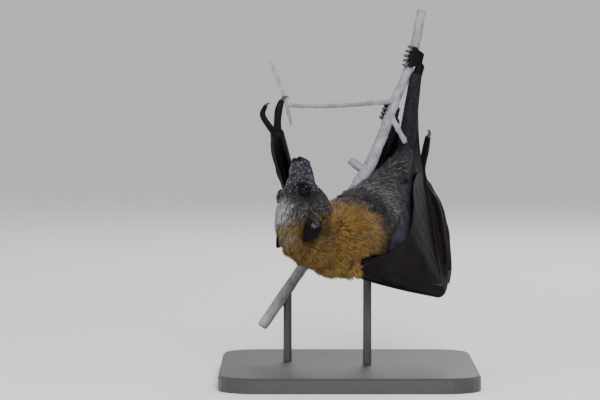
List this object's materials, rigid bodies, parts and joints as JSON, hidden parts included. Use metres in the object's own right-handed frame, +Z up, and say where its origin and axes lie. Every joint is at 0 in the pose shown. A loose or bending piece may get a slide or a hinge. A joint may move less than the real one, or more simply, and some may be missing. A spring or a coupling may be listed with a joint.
{
  "type": "fruit bat",
  "caption": "Life-size fruit bat with a golden mantle, hanging by its feet from a cut branch and hooking a side twig, head curled up, on a flat stand with rods",
  "frame": {"origin": "middle of the underside of the stand's base, on the floor", "axes": "+X towards the bat's right wing, -Y towards the side that its face and right flank show to, +Z up"},
  "size_m": [0.24, 0.276, 0.348],
  "materials": {
    "face_fur": "short grizzled slate-grey fur",
    "mantle_fur": "long soft golden-orange fur",
    "body_fur": "dark grey fur with pale guard hairs",
    "wing_skin": "thin blackish-brown skin with a soft sheen",
    "digit_skin": "dark wrinkled skin and dark horn claws",
    "eye": "polished dark brown",
    "bark": "smooth pale grey bark with sawn ends",
    "stand_plate": "satin black painted board",
    "stand_steel": "satin black rod"
  },
  "bodies": {
    "root": {"ear_left": "wing_skin", "ear_right": "wing_skin", "eye_left": "eye", "eye_right": "eye", "foot_left": "digit_skin", "foot_right": "digit_skin", "forearm_left": "wing_skin", "forearm_right": "wing_skin", "hand_left": "wing_skin", "hand_right": "wing_skin", "head": "face_fur", "index_finger_left": "digit_skin", "leg_membrane_left": "wing_skin", "neck": "mantle_fur", "perch_branch": "bark", "perch_hook_twig": "bark", "perch_side_twig": "bark", "shank_left": "wing_skin", "shank_right": "wing_skin", "stand_base": "stand_plate", "stand_rod_body": "stand_steel", "stand_rod_perch": "stand_steel", "tail_membrane": "wing_skin", "thigh_left": "body_fur", "thigh_right": "body_fur", "thumb_left": "digit_skin", "thumb_right": "digit_skin", "trunk_belly": "body_fur", "trunk_chest": "mantle_fur", "upper_arm_left": "body_fur", "upper_arm_right": "body_fur", "wing_front_left": "wing_skin", "wing_front_right": "wing_skin", "wing_rear_left": "wing_skin", "wing_rear_right": "wing_skin"}
  },
  "joints": []
}
